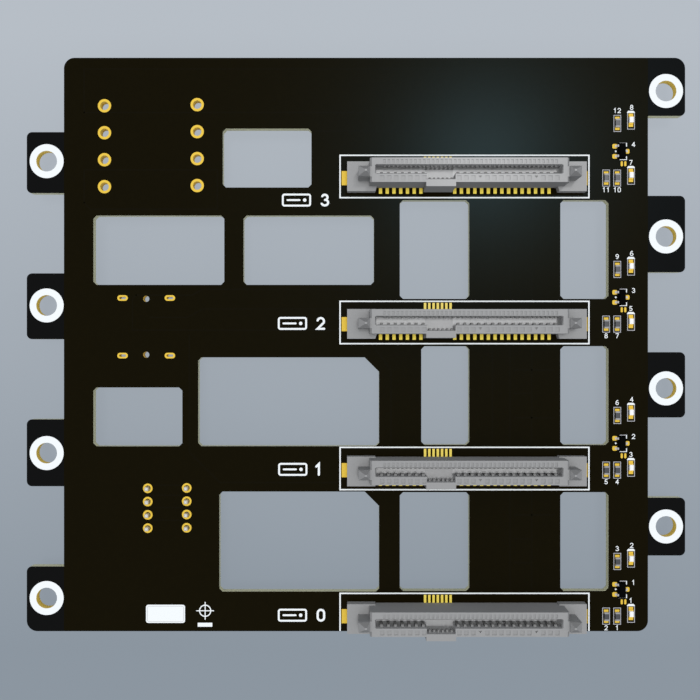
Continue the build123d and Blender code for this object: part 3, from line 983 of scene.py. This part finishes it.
for bay in range(BAY_COUNT):
    cut_housing(bay)
    middle = bay_y(bay)
    contacts = [
        front_spring(FRONT_CONTACT, SLOT_FRONT, CONTACT_WIDTH, contact_x(index), middle)
        for index in SERVED_PLACES
    ]
    contacts += [
        rear_spring(REAR_CONTACT, second_x(index), middle) for index in range(SECOND_COUNT)
    ]
    served = piece(f"contacts_{bay}", contacts, contact_finish)
    groups = ("signal_contacts", "power_contacts", "second_port_contacts")
    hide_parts(*(f"receptacle_{bay}_{group}" for group in groups))
    idle = [
        rear_spring(SLIGHT_BEND, place, middle)
        for index, place in enumerate(rear_cavities())
        if index not in REAR_CONTACTS
    ]
    idle += [
        front_spring(STRONG_BEND, KEY_RECESS_FRONT, SECOND_WIDTH, place, middle)
        for place in key_cavities()
    ]
    piece(f"idle_contacts_{bay}", idle, contact_finish)


# Bay labels: a plain drive outline and the bay's number

def drive_outline(x, y):
    """Drive seen from its front: a rounded box with a slot and a lamp."""
    outer = rounded_box((x, y), (DRIVE_LENGTH, LABEL_HEIGHT), DRIVE_CORNER)
    inner_size = (DRIVE_LENGTH - 2 * DRIVE_LINE, LABEL_HEIGHT - 2 * DRIVE_LINE)
    inner = rounded_box((x, y), inner_size, DRIVE_INNER_CORNER)
    slot = [(end, y) for end in moved(DRIVE_SLOT_X, x)]
    lamp = circle((x + DRIVE_LAMP_X, y), DRIVE_LAMP_RADIUS, 24)
    return [
        collar(outer, inner, BOARD_TOP, PRINT_TOP),
        ribbon(slot, DRIVE_LINE, BOARD_TOP, PRINT_TOP),
        prism(lamp, BOARD_TOP, PRINT_TOP),
    ]


labels = []
for digit, digit_x, label_y, drive_x in LABELS:
    labels += number(digit, (digit_x, label_y), LABEL_HEIGHT, LABEL_LINE)
    labels += drive_outline(drive_x, label_y)
piece("bay_labels", labels, white_finish)


# Blank marking field, target mark and bar near the lower edge

def target_mark():
    """Ring with two crossing lines."""
    outer = circle(TARGET_CENTRE, TARGET_RADIUS)
    inner = circle(TARGET_CENTRE, TARGET_INNER_RADIUS)
    marks = [collar(outer, inner, BOARD_TOP, PRINT_TOP)]
    for (x, y), rise in TARGET_CROSS:
        ends = moved_points(((-x, -y), (x, y)), TARGET_CENTRE)
        marks.append(ribbon(ends, TARGET_LINE, BOARD_TOP, PRINT_TOP + rise))
    return marks


def field_border():
    """Thin line inside the edge of the marking field."""
    outer = rounded_box(FIELD_CENTRE, BORDER_SIZE, BORDER_CORNER)
    inner_size = [size - 2 * BORDER_LINE for size in BORDER_SIZE]
    inner = rounded_box(FIELD_CENTRE, inner_size, BORDER_CORNER - BORDER_LINE)
    return collar(outer, inner, BOARD_TOP, PRINT_TOP + LAYER)


field = prism(rounded_box(FIELD_CENTRE, FIELD_SIZE, FIELD_CORNER), BOARD_TOP, PRINT_TOP)
target_bar = bar(*TARGET_BAR, (BOARD_TOP, PRINT_TOP))
piece("lower_marks", [field, target_bar, *target_mark()], white_finish)
piece("field_border", [field_border()], pale_finish)


# Pads, outlines and numbers of the small parts

small_pads = []
pale_lines = []
white_lines = []
numbers = []


def chip_pads(x, y):
    """Two pads under the ends of a chip part."""
    near, far = CHIP_PAD_Y
    lower = top_bar(around(x, CHIP_PAD_HALF), (y - far, y - near), COPPER)
    return lower + top_bar(around(x, CHIP_PAD_HALF), (y + near, y + far), COPPER)


def chip_box(x, y, size):
    """Thin printed box round a chip part."""
    return frame_lines(around(x, size[0] / 2), around(y, size[1] / 2), CHIP_LINE)


def part_number(value, x, y, offset):
    """Printed number beside a part."""
    return number(value, (x + offset[0], y + offset[1]), NUMBER_HEIGHT, NUMBER_LINE)


def add_resistor(x, y, value, offset):
    """Pads, box and number of one resistor."""
    small_pads.extend(chip_pads(x, y))
    pale_lines.extend(chip_box(x, y, RESISTOR_BOX))
    numbers.extend(part_number(value, x, y, offset))


def add_led(x, y, value, offset):
    """Pads, box, polarity cap and number of one status light."""
    small_pads.extend(chip_pads(x, y))
    pale_lines.extend(chip_box(x + LED_BOX_SHIFT[0], y + LED_BOX_SHIFT[1], LED_BOX))
    white_lines.append(prism(moved_points(LED_CAP, (x, y)), BOARD_TOP, PRINT_TOP + LAYER))
    numbers.extend(part_number(value, x, y, offset))


def add_transistor(x, y, value):
    """Pads, dot, side and end lines and number of one transistor."""
    for (right, up), size, radius in TRANSISTOR_PADS:
        outline = rounded_box((x + right, y + up), size, radius)
        small_pads.append(prism(outline, BOARD_TOP, COPPER_TOP))
    dot_centre = (x + TRANSISTOR_DOT[0], y + TRANSISTOR_DOT[1])
    white_lines.append(prism(circle(dot_centre, TRANSISTOR_DOT_RADIUS, 20), BOARD_TOP, PRINT_TOP))
    z_range = (BOARD_TOP, PRINT_TOP)
    for y_range in TRANSISTOR_SIDES_Y:
        white_lines.append(bar(moved(TRANSISTOR_SIDE_X, x), moved(y_range, y), z_range))
    for lines, up in zip((white_lines, pale_lines), TRANSISTOR_ENDS_Y):
        y_range = around(y + up, TRANSISTOR_END_HALF)
        lines.append(bar(moved(TRANSISTOR_END_X, x), y_range, z_range))
    numbers.extend(part_number(value, x, y, TRANSISTOR_NUMBER))


for bay in range(BAY_COUNT):
    middle = bay_y(bay)
    for index, ((x, y), offset) in enumerate(RESISTORS, start=1 + bay * len(RESISTORS)):
        add_resistor(RECEPTACLE_X + x, middle + y, index, offset)
    for index, ((x, y), offset) in enumerate(LEDS, start=1 + bay * len(LEDS)):
        add_led(RECEPTACLE_X + x, middle + y, index, offset)
    add_transistor(RECEPTACLE_X + TRANSISTOR_PLACE[0], middle + TRANSISTOR_PLACE[1], bay + 1)

piece("small_part_pads", small_pads, gilt_finish)
piece("small_part_outlines", pale_lines, pale_finish)
piece("polarity_marks", white_lines, white_finish)
piece("part_numbers", numbers, white_finish)


# Floor, light and camera

def seen_rays(nodes, links):
    """One for the rays by which a surface is seen straight, in a mirror or through glass."""
    rays = nodes.new("ShaderNodeLightPath").outputs
    value = rays["Is Camera Ray"]
    for name in ("Is Glossy Ray", "Is Transmission Ray"):
        value = calculate(nodes, links, "MAXIMUM", value, rays[name])
    return value


def floor_finish():
    """Plain pale floor, a little darker towards the front, with a soft shadow of the part."""
    material = bpy.data.materials.new("floor")
    material.use_nodes = True
    nodes, links, shader = parts_of(material)
    shader.inputs["Roughness"].default_value = 0.9
    shader.inputs["Specular IOR Level"].default_value = 0.1
    up_floor = axes_of(nodes, links, object_place(nodes))["Y"]
    front, rear = (edge * MM for edge in FLOOR_TONE_Y)
    tone = mix_by(nodes, links, share_between(nodes, links, up_floor, front, rear), *FLOOR_TONES)
    links.new(tone, shader.inputs["Base Color"])
    glow = nodes.new("ShaderNodeEmission")
    links.new(tone, glow.inputs["Color"])
    share = calculate(nodes, links, "MULTIPLY", seen_rays(nodes, links), FLOOR_OWN_LIGHT)
    shown = (shader.outputs["BSDF"], glow.outputs["Emission"])
    mix_shaders(nodes, links, share, *shown, "Material Output")
    return material


def studio_world():
    """Soft even light; camera and mirror rays see a paler room than the light it gives."""
    world = bpy.data.worlds.new("studio")
    world.use_nodes = True
    nodes = world.node_tree.nodes
    links = world.node_tree.links
    soft = nodes["Background"]
    soft.inputs["Color"].default_value = (0.86, 0.88, 0.92, 1)
    soft.inputs["Strength"].default_value = 0.72
    seen = nodes.new("ShaderNodeBackground")
    seen.inputs["Color"].default_value = (0.66, 0.70, 0.75, 1)
    seen.inputs["Strength"].default_value = 1.0
    shown = (soft.outputs["Background"], seen.outputs["Background"])
    mix_shaders(nodes, links, seen_rays(nodes, links), *shown, "World Output")
    return world


def softbox(name, place, size, power):
    """Square lamp that points at the middle of the board."""
    data = bpy.data.lights.new(name, "AREA")
    data.size = size
    data.energy = power
    lamp = bpy.data.objects.new(name, data)
    lamp.location = place
    aim = Vector((0, 0, BOARD_TOP * MM)) - Vector(place)
    lamp.rotation_euler = aim.to_track_quat("-Z", "Y").to_euler()
    bpy.context.scene.collection.objects.link(lamp)
    return lamp


corners = [(x * FLOOR_REACH, y * FLOOR_REACH, 0) for x, y in ((-1, -1), (1, -1), (1, 1), (-1, 1))]
floor_mesh = bpy.data.meshes.new("floor")
floor_mesh.from_pydata(corners, [], [(0, 1, 2, 3)])
floor_mesh.materials.append(floor_finish())
floor = bpy.data.objects.new("floor", floor_mesh)
bpy.context.scene.collection.objects.link(floor)

bpy.context.scene.world = studio_world()

# The overhead lamp lights the colours; the other one only gives the mask its sheen
overhead = softbox("overhead", *OVERHEAD_LAMP)
overhead.visible_glossy = False
sheen = softbox("sheen", *SHEEN_LAMP)
sheen.visible_diffuse = False

camera_data = bpy.data.cameras.new("camera")
camera_data.lens = CAMERA_LENS
camera_data.sensor_width = CAMERA_SENSOR
camera_data.clip_start = 0.01
camera = bpy.data.objects.new("camera", camera_data)
camera.location = [distance * MM for distance in CAMERA_PLACE]
bpy.context.scene.collection.objects.link(camera)
bpy.context.scene.camera = camera
bpy.context.scene.view_settings.view_transform = "Standard"
